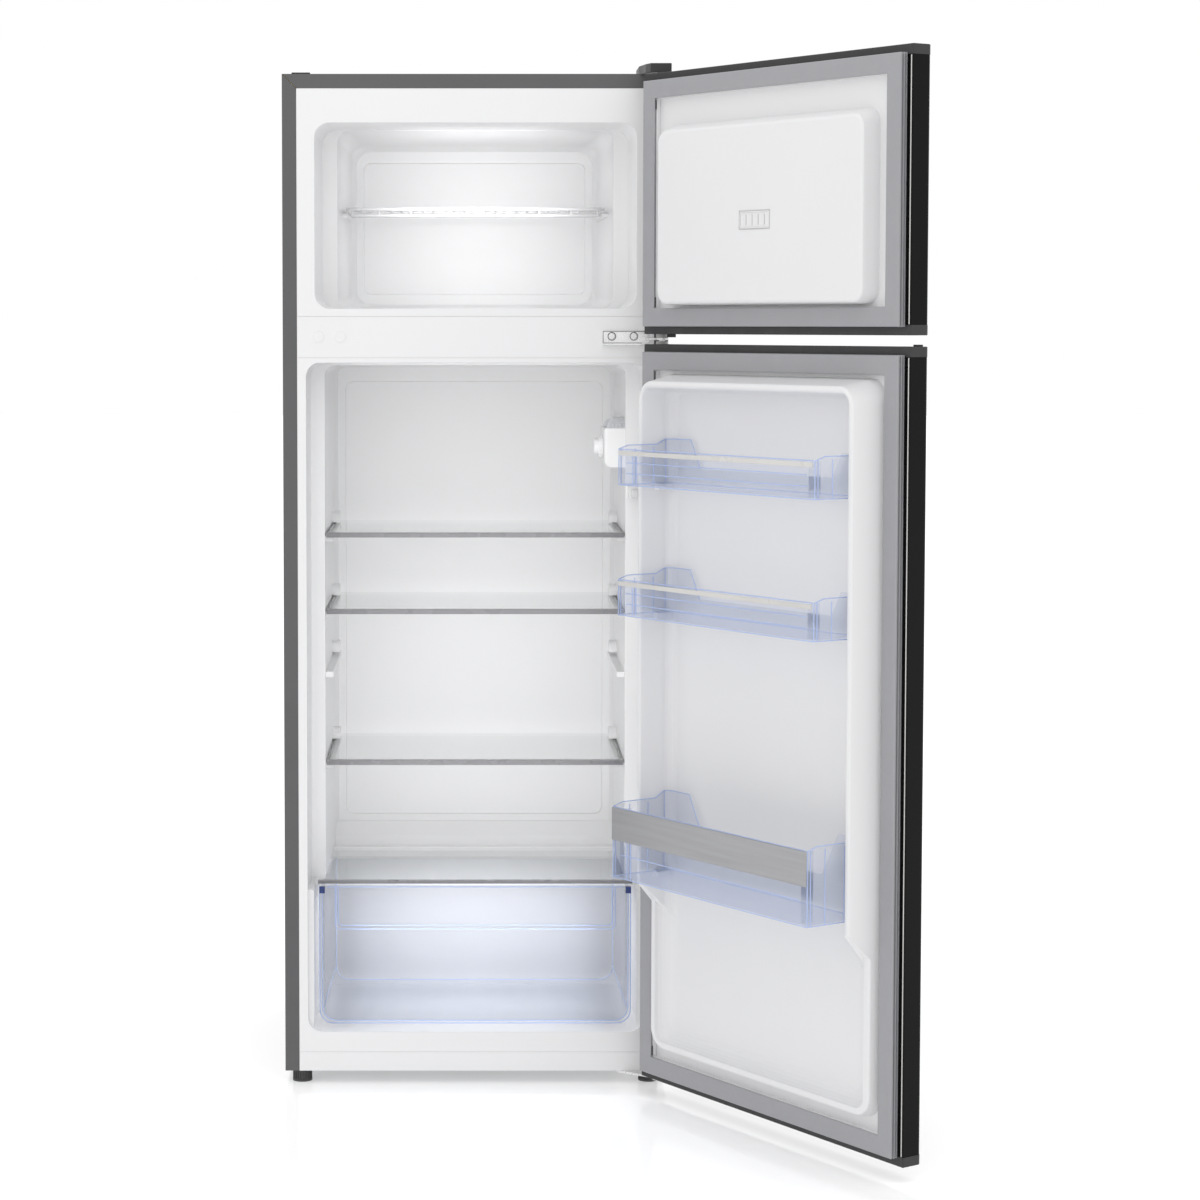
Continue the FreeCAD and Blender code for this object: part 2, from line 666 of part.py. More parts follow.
def lamp_outline(inset):
    """Front view of the lamp dome, drawn in by an inset."""
    low = THERMO_Z[1] + SEAM
    slope = [(192 + inset, low), (194.5 + inset, low + 6), (201 + inset, LAMP_TOP)]
    return slope + [(WALL_HALF, LAMP_TOP), (WALL_HALF, low)]


def lamp_cover():
    """Ribbed dome over the lamp, on top of the housing."""
    d0, d1 = THERMO_D
    low = THERMO_Z[1] + SEAM
    side = [(d0 + 2, low), (d0 + 5, low + 6), (d0 + 16, LAMP_TOP)]
    side += [(d1 - 16, LAMP_TOP), (d1 - 5, low + 6), (d1 - 2, low)]
    dome = side_prism(side, 180, WALL_HALF).common(front_prism(lamp_outline(0), d0, d1))
    core = front_prism(lamp_outline(1.4), d0, d1)
    for k in range(9):
        d = d0 + 14 + k * 10
        dome = dome.cut(box(180, WALL_HALF - 8, d, d + 3, low + 2, LAMP_TOP + 1).cut(core))
    for k in range(4):
        x = 196.5 + k * 5.5
        dome = dome.cut(box(x, x + 2, d0, d0 + 6.4, low + 2, LAMP_TOP + 1))
    return dome


def thermostat_knob():
    """Stepped dial with a notched rim and a pointer slot."""
    x1 = 188.2
    axis = V(1, 0, 0)
    rim = cyl(16.5, x1 - 6, KNOB_D, KNOB_Z, 6, axis)
    rim = rim.makeFillet(1.2, [e for e in rim.Edges if e.BoundBox.XMax < x1 - 5.9])
    hub = cyl(12.5, x1 - 13, KNOB_D, KNOB_Z, 8, axis)
    hub = hub.makeFillet(1.4, [e for e in hub.Edges if e.BoundBox.XMax < x1 - 12.9])
    stem = cyl(2.55, x1 - 1, KNOB_D, KNOB_Z, 9, axis)
    knob = join([rim, hub, stem])
    for k in range(20):
        notch = Part.makeCylinder(1.1, 20, V(x1 - 13, 16.9, 0), axis)
        notch.rotate(V(0, 0, 0), axis, k * 18.0)
        notch.translate(V(0, dep(KNOB_D), KNOB_Z))
        knob = knob.cut(notch)
    slot = box(x1 - 14, x1 - 11.5, KNOB_D - 1, KNOB_D + 1, KNOB_Z + 2, KNOB_Z + 13)
    return knob.cut(slot).removeSplitter()


def switch_button():
    button = box(224.5, 232.5, 27, STEP_DEPTH - 10, 840, 850)
    return button.makeFillet(2, [e for e in button.Edges if e.BoundBox.YMax < dep(27.01)])


# ---------------------------------------------------------------- shelves and drawer
def wire(points, r, bend=6.0):
    return pipe(points, bend, r)


def freezer_shelf():
    """Wire shelf: two front rails, a frame, cross wires and a zigzag edge."""
    z = WIRE_SHELF_Z
    half = 184.5
    d0, d1 = 82.0, 345.0
    parts = []
    frame = wire([(-half, d1, z), (-half, d0 + 4, z), (half, d0 + 4, z), (half, d1, z)], 2.6, 12)
    parts.append(frame)
    parts.append(cyl(2.6, -half, d1, z, 2 * half, V(1, 0, 0)))
    parts.append(cyl(2.0, -half, d0 + 130, z, 2 * half, V(1, 0, 0)))
    parts.append(cyl(2.2, -half + 6, d0 + 6, z - 9, 2 * half - 12, V(1, 0, 0)))
    count = 24
    for k in range(1, count):
        x = -half + 2 * half * k / count
        parts.append(cyl(1.5, x, d0 + 4, z + 1.2, d1 - d0 - 4, V(0, 1, 0)))
    for s in (-1, 1):
        parts.append(cyl(1.8, s * (half - 8), d0 + 5, z - 9.5, 9, V(0, 0, 1)))
    for k in range(1, 8):
        x = -half + 2 * half * k / 8
        parts.append(cyl(1.5, x, d0 + 5, z - 9, 9, V(0, 0, 1)))
    out = parts[0]
    out = out.multiFuse(parts[1:])
    return out.removeSplitter()


def shelf_glass(z):
    d0, d1 = STEP_DEPTH + 4.0, 390.0
    glass = box(-SHELF_HALF, SHELF_HALF, d0, d1, z, z + GLASS)
    return glass.makeFillet(6, [e for e in glass.Edges if abs(e.BoundBox.ZLength - GLASS) < 0.01])


def shelf_trim(z):
    """Channel clipped over the front edge of the glass."""
    d0 = STEP_DEPTH
    trim = box(-SHELF_HALF, SHELF_HALF, d0, d0 + 14, z - 1.4, z + GLASS + 1.4)
    front = [e for e in trim.Edges if e.BoundBox.YMax < dep(d0 + 0.01) and e.BoundBox.XLength > 1]
    trim = trim.makeFillet(1.5, front)
    return trim.cut(box(-SHELF_HALF - 1, SHELF_HALF + 1, d0 + 4, d0 + 15, z, z + GLASS))


def crisper_glass():
    """Cover glass, narrower behind the step of the liner."""
    half = [(-226.5, 43), (-226.5, 84), (-218, 94), (-213, 98), (-213, 300)]
    outline = half + [(-x, d) for x, d in reversed(half)]
    return plan_prism(outline, CRISPER_GLASS_Z, CRISPER_GLASS_Z + CRISPER_GLASS)


def crisper_trim():
    z0, z1 = CRISPER_GLASS_Z, CRISPER_GLASS_Z + CRISPER_GLASS
    trim = box(-227, 227, 39, 47, z0 - 0.7, z1 + 0.7)
    front = [e for e in trim.Edges if e.BoundBox.YMax < dep(39.01) and e.BoundBox.XLength > 1]
    trim = trim.makeFillet(0.6, front)
    return trim.cut(box(-230, 230, 43, 60, z0, z1))


DRAWER_TOP = CRISPER_TOP - 3.0
DRAWER_FRONT_TOP = 280.0
DRAWER_Z = 80.0


def grip_band(half, low, wall, d0, d1):
    """Recess across the drawer front, open at the top, grown by a wall thickness."""
    near = (-half - wall, half + wall, low - wall, DRAWER_FRONT_TOP + 20, 6 + wall, d0)
    far = (4 - half - wall, half + wall - 4, low - wall + 4, DRAWER_FRONT_TOP + 20, 6 + wall, d1)
    return tub(near, far)


def crisper_drawer():
    """Clear drawer: front with a recessed grip band, tapered box behind it."""
    z0, z1, top = DRAWER_Z, DRAWER_TOP, DRAWER_FRONT_TOP
    low = top - 62
    plate = (-224.7, 224.7, z0, top + 24, 20)
    front = tub(plate + (26,), plate + (32,)).fuse(grip_band(201.5, low, 2.4, 29, 35))
    front = front.common(box(-240, 240, 0, 60, 0, top)).cut(grip_band(201.5, low, 0, 20, 32.6))
    outer = tub((-222, 222, z0 + 1, z1 + 24, 19, 31), (-214, 214, z0 + 3, z1 + 24, 22, 284))
    inner = tub((-219.6, 219.6, z0 + 3.4, z1 + 24, 17, 28.6), (-211.6, 211.6, z0 + 5.4, z1 + 24, 20, 281.6))
    below = box(-240, 240, 0, 400, 0, z1)
    inside = inner.cut(box(-240, 240, 0, 31.9, 0, 400))
    rim = tub((-224.5, 224.5, z1 - 2.4, z1 + 14, 1, 32), (-217, 217, z1 - 2.4, z1 + 14, 1, 286))
    rim = rim.common(box(-240, 240, 32, 400, z1 - 2.4, z1)).cut(inside)
    body = outer.common(below).cut(inside).cut(grip_band(201.5, low, 0, 20, 32.6))
    drawer = join([front, body, rim])
    for k in range(5):
        for s in (-1, 1):
            x = (k - 2) * 68.0 + s * 13.0
            drawer = drawer.fuse(box(x - 0.9, x + 0.9, 70, 250, z0 + 2, z0 + 7.4))
    for s in (-1, 1):
        near, far = sorted((s * 216.5, s * 226))
        drawer = drawer.cut(box(near, far, 20, 29, top - 10, top + 1))
    return drawer.removeSplitter()


def drawer_stops():
    stops = []
    top = DRAWER_FRONT_TOP
    for s in (-1, 1):
        near, far = sorted((s * 216.6, s * 224.4))
        stops.append(box(near, far, 25.4, 29, top - 9.9, top - 0.4))
    return stops


# ---------------------------------------------------------------- doors (described shut)
def door_edge(half, d0, d1, z0, z1, r):
    """Door-shaped slab with soft vertical front edges."""
    slab = box(-half, half, d0, d1, z0, z1)
    length = z1 - z0
    tall = [e for e in slab.Edges if abs(e.BoundBox.ZLength - length) < 0.01]
    slab = slab.makeFillet(r, [e for e in tall if e.BoundBox.YMax < dep(d0 + 0.01)])
    tall = [e for e in slab.Edges if abs(e.BoundBox.ZLength - length) < 0.01]
    return slab.makeFillet(1.6, [e for e in tall if e.BoundBox.YMin > dep(d1 - 0.01)])


def door_skin(z):
    z0, z1 = z[0] + CAP_H, z[1] - CAP_H
    skin = door_edge(HALF_W - 0.6, SKIN_DEPTH, DOOR_BACK, z0, z1, 5)
    inside = door_edge(HALF_W - 0.6 - SHEET, SKIN_DEPTH + SHEET, DOOR_BACK - SHEET, z0 - 1, z1 + 1, 4.2)
    skin = skin.cut(inside)
    mouth = HALF_W - 13
    return skin.cut(box(-mouth, mouth, DOOR_BACK - 3, DOOR_BACK + 1, z0 - 1, z1 + 1))


def pin_hole(z0, z1):
    return cyl(BUSH_R, PIN_X, PIN_DEPTH, z0, z1 - z0)


def door_cap(z, upper):
    """End cap with the seat of a hinge bush."""
    z0, z1 = (z[1] - CAP_H, z[1]) if upper else (z[0], z[0] + CAP_H)
    cap = door_edge(HALF_W, SKIN_DEPTH - 0.6, DOOR_BACK, z0, z1, 6)
    rim_z = z1 if upper else z0
    rim = [e for e in cap.Edges if e.BoundBox.ZLength < 0.01 and abs(e.BoundBox.ZMin - rim_z) < 0.01]
    cap = cap.makeFillet(1.2, rim)
    return cap.cut(pin_hole(z0 - 1, z1 + 1))


def bush(z0, z1):
    return pin_hole(z0, z1).cut(cyl(PIN_R + PIN_GAP, PIN_X, PIN_DEPTH, z0 - 5, z1 - z0 + 10))


def door_bushes(z, low_gap, high_gap):
    """Two bushes in the end caps; each gap is how far the collar stands out."""
    collar_low = cyl(8.5, PIN_X, PIN_DEPTH, z[0] - low_gap, low_gap)
    collar_low = collar_low.cut(cyl(PIN_R + PIN_GAP, PIN_X, PIN_DEPTH, z[0] - 10, 20))
    low = bush(z[0], z[0] + CAP_H).fuse(collar_low).removeSplitter()
    high = bush(z[1] - CAP_H, z[1])
    if high_gap:
        collar = cyl(8.5, PIN_X, PIN_DEPTH, z[1], high_gap)
        collar = collar.cut(cyl(PIN_R + PIN_GAP, PIN_X, PIN_DEPTH, z[1] - 10, 20))
        high = high.fuse(collar).removeSplitter()
    return [low, high]


def door_stop_lug(z):
    """Lug under the cap that limits how far the door opens."""
    return box(236, 246, PIN_DEPTH - 5, PIN_DEPTH + 3, z[0] - 4.5, z[0] + 1)


def crowned(bases, crest, top, round_r, sign):
    """Body through base sections (half width, z0, z1, r, depth) up to a crest whose edge is rounded.

    sign is 1 for a block and -1 for the opening inside a frame.
    """
    sections = list(bases)
    half, z0, z1, r = crest
    for angle in (0, 30, 60, 90):
        a = math.radians(angle)
        c = sign * round_r * (1 - math.cos(a))
        sections.append((half - c, z0 + c, z1 - c, r - c, top - round_r * (1 - math.sin(a))))
    if sign < 0:
        sections.append(sections[-1][:4] + (top + 2,))
    return even_tub(*sections)


MARK_HALF = 31.0
MARK_Z = (1213.0, 1237.0)


def freezer_door_panel(t):
    """Raised panel inside the freezer door, shrunk by t."""
    base = (214 - t, 1112.5 + t, 1362 - t, 20 - t, DOOR_BACK - 4)
    crest = (210.5 - t, 1115 + t, 1353 - t, 18 - t)
    return crowned([base], crest, 15 - t, 5 - t, 1)


def freezer_door_liner():
    z0, z1 = FREEZER_DOOR_Z
    half = HALF_W - 13.3
    sheet = box(-half, half, DOOR_BACK - PLASTIC, DOOR_BACK, z0 + CAP_H + 0.3, z1 - CAP_H - 0.3)
    behind = box(-300, 300, SKIN_DEPTH, DOOR_BACK - PLASTIC, 0, CAB_TOP)
    liner = sheet.fuse(freezer_door_panel(0)).cut(freezer_door_panel(PLASTIC)).cut(behind)
    low, high = MARK_Z
    mark = even_tub((MARK_HALF, low, high, 4, 14.5), (MARK_HALF - 1, low + 1, high - 1, 3.4, 16.0))
    hole = (MARK_HALF - 2, low + 2, high - 2, 2.6)
    mark = mark.cut(even_tub(hole + (14,), hole + (17,)))
    for k in range(4):
        x = (k - 1.5) * 12.5
        mark = mark.fuse(box(x - 1.6, x + 1.6, 14.5, 16.0, low + 5, high - 5))
    return join([liner, mark])


RIDGE_BASE = (232.6, 1021.2, 30.0)
RIDGE_FLANK = 0.2
RIDGE_FOOT = -20.0
RIDGE_TOP = 38.0
RIDGE_ROUND = 5.0
RIDGE_END = 277.0
FRAME_TOP = 7.0
FRAME_ROUND = 4.0
FRAME_LOW = 73.0


def fillet_sections(t, half, run, z0, z0_run, z1, z1_run, r, centre, rise):
    """Sections of an opening whose wall leaves the door sheet in a quarter turn of run by rise."""
    out = [(half, z0, z1, r, centre - rise - t - 8)]
    for angle in range(0, 91, 15):
        a = math.radians(angle)
        side = math.sin(a)
        wide = half + (run + t) * side
        low = z0 - (z0_run + t) * side
        high = z1 + (z1_run + t) * side
        out.append((wide, low, high, r + (2 + t) * side, centre - (rise + t) * math.cos(a)))
    return out


def ridge_outside(t, z0, z0_slope, top, round_r):
    """Block with the sloping outer flank shared by the ridge and the frame below it."""
    half, z1, r = RIDGE_BASE
    rise = top - round_r - RIDGE_FOOT
    base = (half - t, z0 + t, z1 - t, r - t, RIDGE_FOOT)
    inward = RIDGE_FLANK * rise
    crest = (half - inward - t, z0 + z0_slope * rise + t, z1 - inward - t, r - 2 - t)
    return crowned([base], crest, top - t, round_r - t, 1)


def ridge_upper(t):
    """Upper dike of the fridge door: two side ridges joined across the top, with sloping lower ends."""
    outer = ridge_outside(t, 180, 0, RIDGE_TOP, RIDGE_ROUND)
    wall = fillet_sections(t, 189, 17, 150, 0, 991.5, 6.5, 12, 5, 17)
    inner = crowned(wall, (212.5 + t, 150 - t, 1000.5 + t, 14 + t), RIDGE_TOP - t, 4 - t, -1)
    shift = t * math.sqrt(2)
    low = RIDGE_END - 60 + shift
    end = side_prism([(-60, 0), (-60, low), (60, low + 120), (60, 0)], -260, 260)
    return outer.cut(inner).cut(end)


def ridge_lower(t):
    """Lower, shallower frame opposite the drawer."""
    outer = ridge_outside(t, FRAME_LOW - 1.4, 0.2, FRAME_TOP, FRAME_ROUND)
    wall = fillet_sections(t, 190, 27.6, 108, 22, 380, 0, 14, FRAME_TOP, 19)
    half, z0, z1, r, depth = wall[-1]
    inner = even_tub(*wall, (half, z0, z1, r, depth + 4))
    return outer.cut(inner).common(box(-260, 260, -60, 60, 0, RIDGE_END + 35 - t))


def fridge_door_liner():
    z0, z1 = FRIDGE_DOOR_Z
    half = HALF_W - 13.3
    sheet = box(-half, half, DOOR_BACK - PLASTIC, DOOR_BACK, z0 + CAP_H + 0.3, z1 - CAP_H - 0.3)
    ridges = ridge_upper(0).fuse(ridge_lower(0))
    hollow = ridge_upper(PLASTIC).fuse(ridge_lower(PLASTIC))
    behind = box(-300, 300, SKIN_DEPTH, DOOR_BACK - PLASTIC, 0, CAB_TOP)
    liner = sheet.fuse(ridges).cut(hollow).cut(behind)
    pegs = []
    for bottom in BIN_PEGS:
        for s in (-1, 1):
            near, far = sorted((s * 198, s * 210))
            pegs.append(box(near, far, -6, 18, bottom - 9, bottom - 0.4).cut(hollow))
    return join([liner] + pegs)


def door_foam(z, shapes):
    z0, z1 = z[0] + CAP_H, z[1] - CAP_H
    inside = door_edge(HALF_W - 0.6 - SHEET, SKIN_DEPTH + SHEET, DOOR_BACK - SHEET, z0, z1, 4.2)
    inside = inside.common(box(-HALF_W, HALF_W, SKIN_DEPTH, DOOR_BACK - PLASTIC, z0, z1))
    return join([inside] + shapes)


def freezer_door_foam():
    panel = freezer_door_panel(PLASTIC)
    return door_foam(FREEZER_DOOR_Z, [panel.common(box(-260, 260, DOOR_BACK - 3, 60, 0, 1500))])


def fridge_door_foam():
    keep = box(-260, 260, DOOR_BACK - 3, 60, 0, 1500)
    shapes = [ridge_upper(PLASTIC).common(keep), ridge_lower(PLASTIC).common(keep)]
    return door_foam(FRIDGE_DOOR_Z, shapes)


def gasket(z):
    """Magnetic gasket with outer folds, mitred at the corners."""
    steps = [(4, 0), (4, 2.0), (6.5, 4.4), (8.6, 3.6), (10.4, 7.4), (12.6, 6.8), (15.0, GASKET_H)]
    steps += [(36, GASKET_H), (36, GASKET_H - 2.5), (33, GASKET_H - 2.5), (33, 0)]
    profile = [(w, DOOR_BACK + h) for w, h in steps]
    return ring(profile, HALF_W, z[0], z[1])


# ---------------------------------------------------------------- door bins
SMALL_BINS = (868.5, 690.0)
SMALL_BIN_H = 50.0
BOTTLE_BIN = (329.0, 98.0)
BIN_PEGS = SMALL_BINS + (BOTTLE_BIN[0],)
SMALL_BIN_HALF = 205.0
SMALL_BIN_DEPTH = 84.5
BOTTLE_BIN_HALF = 205.0
BOTTLE_BIN_DEPTH = 92.0
BIN_BACK = DOOR_BACK + 5.5
BIN_CHAMFER = 8.0
BIN_SHOULDER = 5.0
TAB_LENGTH = 47.0
TAB_SLOPE = 12.0 / 22.0
WALL = 2.2


def bin_plan(half, depth, wall, z0, z1, r):
    """Upright block of the bin's plan, drawn in by a wall thickness."""
    back = BIN_BACK + wall
    near = BIN_CHAMFER + wall * (math.sqrt(2) - 1)
    x = half - wall
    plan = [(x, BIN_BACK + near), (x, depth - wall), (-x, depth - wall), (-x, BIN_BACK + near)]
    plan += [(near - half, back), (half - near, back)]
    block = plan_prism(plan, z0, z1)
    front = [e for e in block.Edges if e.BoundBox.YMin > dep(depth - wall - 0.01) and e.BoundBox.ZLength > 5]
    return block.makeFillet(r, front)


def bin_tray(half, z0, height, depth, tab):
    """Clear door bin: open tray with raised end walls and a tab at the back corner near the hinge."""
    z1 = z0 + height
    top = z1 + tab
    tray = bin_plan(half, depth, 0, z0, top, 3.5).cut(bin_plan(half, depth, WALL, z0 + WALL, top + 1, 1.4))
    above = [(BIN_BACK + 8, top), (BIN_BACK + 24, z1 + BIN_SHOULDER), (depth - 18, z1 + BIN_SHOULDER)]
    above += [(depth - 2, z1), (depth + 1, z1), (depth + 1, top + 1), (BIN_BACK + 8, top + 1)]
    tray = tray.cut(side_prism(above, -half - 1, half + 1))
    tray = tray.cut(box(-half - 1, 0, BIN_BACK - 1, depth + 1, z1 + BIN_SHOULDER, top + 1))
    low = z0 + height * 0.45
    tab_x = half - TAB_LENGTH
    low_x = tab_x - TAB_SLOPE * (top - low)
    gap = [(-tab_x, top), (-low_x, low), (low_x, low), (tab_x, top), (tab_x, top + 1), (-tab_x, top + 1)]
    tray = tray.cut(front_prism(gap, BIN_BACK - 1, BIN_BACK + WALL + 1))
    for s in (-1, 1):
        near, far = sorted((s * (half - 14), s * (half - 14 - WALL)))
        tray = tray.fuse(box(near, far, depth - 22, depth - 1, z0 + 1, z1 - 3))
    return tray.removeSplitter()


def bin_trim(half, depth, z0, z1):
    """Strip on the outside of the bin's front wall."""
    strip = box(-half, half, depth, depth + 1.4, z0, z1)
    edge = [e for e in strip.Edges if e.BoundBox.YMin > dep(depth + 1.39)]
    return strip.makeFillet(0.6, edge)


# ---------------------------------------------------------------- export
def opened(shape):
    """Turns a door piece from shut to the open rest position."""
    out = shape.copy()
    out.rotate(V(PIN_X, dep(PIN_DEPTH), 0), V(0, 0, 1), REST_ANGLE)
    return out


def export_cabinet():
    save("outer_shell", screw_clearance(outer_shell()))
    save("back_panel", back_panel())
    save("base_deck", screw_clearance(base_deck()))
    save("compressor_tray", compressor_tray())
    save("cabinet_foam", screw_clearance(cabinet_foam()))
    save("freezer_liner", freezer_liner())
    save("fridge_liner", fridge_liner())
    save("beam_cover", screw_clearance(beam_cover()))
    save_group("beam_plugs", beam_plugs())
    save("bottom_strip", bottom_strip())
    save("top_hinge", top_hinge())
    save("top_hinge_cover", top_hinge_cover())
    save("spare_hinge_cap", spare_hinge_cap())
    save("middle_hinge", middle_hinge())
    save("bottom_hinge", bottom_hinge())
    save_group("hinge_screws", hinge_screws())
    save_group("rear_feet", rear_feet())
    save("compressor", compressor())
    save_group("compressor_grommets", grommets())
    save("relay_cover", relay_cover())
    save_group("refrigerant_pipes", refrigerant_pipes())
    save("drip_tray", drip_tray())
    save("cord_gland", cord_gland())
    save("thermostat_housing", thermostat_housing())
    save("lamp_cover", lamp_cover())
    save("thermostat_knob", thermostat_knob())
    save("switch_button", switch_button())
    save("front_foot_left", front_foot(-FOOT_X, CAB_BOTTOM - 0.4))
    save("front_foot_right", front_foot(FOOT_X, CAB_BOTTOM - 3.4))


def export_shelves():
    save("freezer_shelf", freezer_shelf())
    for name, z in zip(("upper", "middle", "lower"), SHELF_Z):
        save("shelf_glass_" + name, shelf_glass(z))
        save("shelf_trim_" + name, shelf_trim(z))
    save("crisper_glass", crisper_glass())
    save("crisper_trim", crisper_trim())
    save("crisper_drawer", crisper_drawer())
    save_group("drawer_stops", drawer_stops())


def export_doors():
    z = FREEZER_DOOR_Z
    save("freezer_door_skin", opened(door_skin(z)))
    save("freezer_door_foam", opened(freezer_door_foam()))
    save("freezer_door_liner", opened(freezer_door_liner()))
    save("freezer_door_gasket", opened(gasket(z)))
    save("freezer_door_top_cap", opened(door_cap(z, True)))
    lower = join([door_cap(z, False), door_stop_lug(z)])
    save("freezer_door_bottom_cap", opened(lower))
    save_group("freezer_door_bushes", [opened(b) for b in door_bushes(z, 5.0, 0)])
    z = FRIDGE_DOOR_Z
    save("fridge_door_skin", opened(door_skin(z)))
    save("fridge_door_foam", opened(fridge_door_foam()))
    save("fridge_door_liner", opened(fridge_door_liner()))
    save("fridge_door_gasket", opened(gasket(z)))
    boss = cyl(6, -PIN_X, PIN_DEPTH, z[1] - 1, 3.4)
    save("fridge_door_top_cap", opened(join([door_cap(z, True), boss])))
    lower = join([door_cap(z, False), door_stop_lug(z).common(box(0, 300, -60, 0, z[0] - 2.5, z[1]))])
    save("fridge_door_bottom_cap", opened(lower))
    save_group("fridge_door_bushes", [opened(b) for b in door_bushes(z, 3.0, 4.0)])


def export_bins():
    for name, z0 in zip(("upper", "middle"), SMALL_BINS):
        top = z0 + SMALL_BIN_H
        tray = bin_tray(SMALL_BIN_HALF, z0, SMALL_BIN_H, SMALL_BIN_DEPTH, 12)
        save("bin_" + name, opened(tray))
        save("bin_trim_" + name, opened(bin_trim(SMALL_BIN_HALF - 4, SMALL_BIN_DEPTH, top - 9, top - 3)))
    z0, height = BOTTLE_BIN
    top = z0 + height
    save("bottle_bin", opened(bin_tray(BOTTLE_BIN_HALF, z0, height, BOTTLE_BIN_DEPTH, 14)))
    save("bottle_bin_trim", opened(bin_trim(BOTTLE_BIN_HALF - 1.5, BOTTLE_BIN_DEPTH, top - 46, top - 1)))


export_cabinet()
export_shelves()
export_doors()
export_bins()
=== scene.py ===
"""Looks of the top freezer refrigerator: materials, added details, floor, lights and camera."""

import json
import math

import bpy
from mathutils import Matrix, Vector


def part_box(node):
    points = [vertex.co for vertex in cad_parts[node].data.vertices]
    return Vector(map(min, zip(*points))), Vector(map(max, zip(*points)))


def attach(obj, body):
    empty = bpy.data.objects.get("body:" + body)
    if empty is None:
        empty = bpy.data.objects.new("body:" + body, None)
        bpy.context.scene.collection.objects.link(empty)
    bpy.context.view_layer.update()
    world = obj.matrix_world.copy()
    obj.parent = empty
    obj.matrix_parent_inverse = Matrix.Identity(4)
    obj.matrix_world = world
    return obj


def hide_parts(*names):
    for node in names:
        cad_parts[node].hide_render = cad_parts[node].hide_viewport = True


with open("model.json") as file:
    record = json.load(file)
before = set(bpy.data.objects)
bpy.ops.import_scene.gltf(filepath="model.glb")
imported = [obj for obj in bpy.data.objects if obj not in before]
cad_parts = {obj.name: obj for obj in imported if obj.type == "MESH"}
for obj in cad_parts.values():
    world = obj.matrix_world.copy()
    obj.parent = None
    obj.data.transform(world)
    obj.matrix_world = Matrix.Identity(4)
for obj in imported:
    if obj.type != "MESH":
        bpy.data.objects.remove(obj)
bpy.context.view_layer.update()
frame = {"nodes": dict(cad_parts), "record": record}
nodes = frame["nodes"]


# ---------------------------------------------------------------- node helpers

def new_material(name):
    """A node material with only a Principled shader and its output."""
    material = bpy.data.materials.new(name)
    material.use_nodes = True
    return material, material.node_tree, material.node_tree.nodes["Principled BSDF"]


def noise(tree, scale, detail=3.0, stretch=(1, 1, 1)):
    """A noise texture in object coordinates, which move with the piece. Returns its value socket."""
    coordinates = tree.nodes.new("ShaderNodeTexCoord")
    mapping = tree.nodes.new("ShaderNodeMapping")
    texture = tree.nodes.new("ShaderNodeTexNoise")
    mapping.inputs["Scale"].default_value = stretch
    texture.inputs["Scale"].default_value = scale
    texture.inputs["Detail"].default_value = detail
    tree.links.new(coordinates.outputs["Object"], mapping.inputs["Vector"])
    tree.links.new(mapping.outputs["Vector"], texture.inputs["Vector"])
    return texture.outputs["Fac"]


def spread(tree, value, low, high):
    """Maps a noise value from its usual 0.3 to 0.7 onto low to high."""
    node = tree.nodes.new("ShaderNodeMapRange")
    node.inputs["From Min"].default_value = 0.3
    node.inputs["From Max"].default_value = 0.7
    node.inputs["To Min"].default_value = low
    node.inputs["To Max"].default_value = high
    tree.links.new(value, node.inputs["Value"])
    return node.outputs["Result"]


def two_tone(tree, value, first, second):
    """A colour ramp from first to second, driven by a noise value."""
    node = tree.nodes.new("ShaderNodeValToRGB")
    node.color_ramp.elements[0].position = 0.3
    node.color_ramp.elements[1].position = 0.7
    node.color_ramp.elements[0].color = (*first, 1)
    node.color_ramp.elements[1].color = (*second, 1)
    tree.links.new(value, node.inputs["Fac"])
    return node.outputs["Color"]


def bump(tree, value, strength, depth):
    """A bump normal from a noise value. The depth is in metres."""
    node = tree.nodes.new("ShaderNodeBump")
    node.inputs["Strength"].default_value = strength
    node.inputs["Distance"].default_value = depth
    tree.links.new(value, node.inputs["Height"])
    return node.outputs["Normal"]


def surface(name, colour, rough, metallic=0.0, vary=0.05, cloud=6.0, grain=900.0, relief=0.15,
            relief_depth=0.0002, stretch=(1, 1, 1), coat=0.0, specular=0.5, uneven=0.15):
    """An opaque material: faint colour clouds, uneven gloss and a fine grain in relief."""
    material, tree, shader = new_material(name)
    darker = [channel * (1 - vary) for channel in colour]
    lighter = [min(channel * (1 + vary), 1.0) for channel in colour]
    clouds = noise(tree, cloud, 2.0, stretch)
    tree.links.new(two_tone(tree, clouds, darker, lighter), shader.inputs["Base Color"])
    gloss = noise(tree, cloud * 5, 4.0, stretch)
    rough_range = (rough * (1 - uneven), min(rough * (1 + uneven), 1))
    tree.links.new(spread(tree, gloss, *rough_range), shader.inputs["Roughness"])
    fine = noise(tree, grain, 2.0, stretch)
    tree.links.new(bump(tree, fine, relief, relief_depth), shader.inputs["Normal"])
    shader.inputs["Metallic"].default_value = metallic
    shader.inputs["Coat Weight"].default_value = coat
    shader.inputs["Coat Roughness"].default_value = 0.06
    shader.inputs["Specular IOR Level"].default_value = specular
    return material


def edge_weight(tree):
    """0 where a surface faces the viewer, 1 where it is seen edge on."""
    node = tree.nodes.new("ShaderNodeLayerWeight")
    node.inputs["Blend"].default_value = 0.5
    return node.outputs["Facing"]


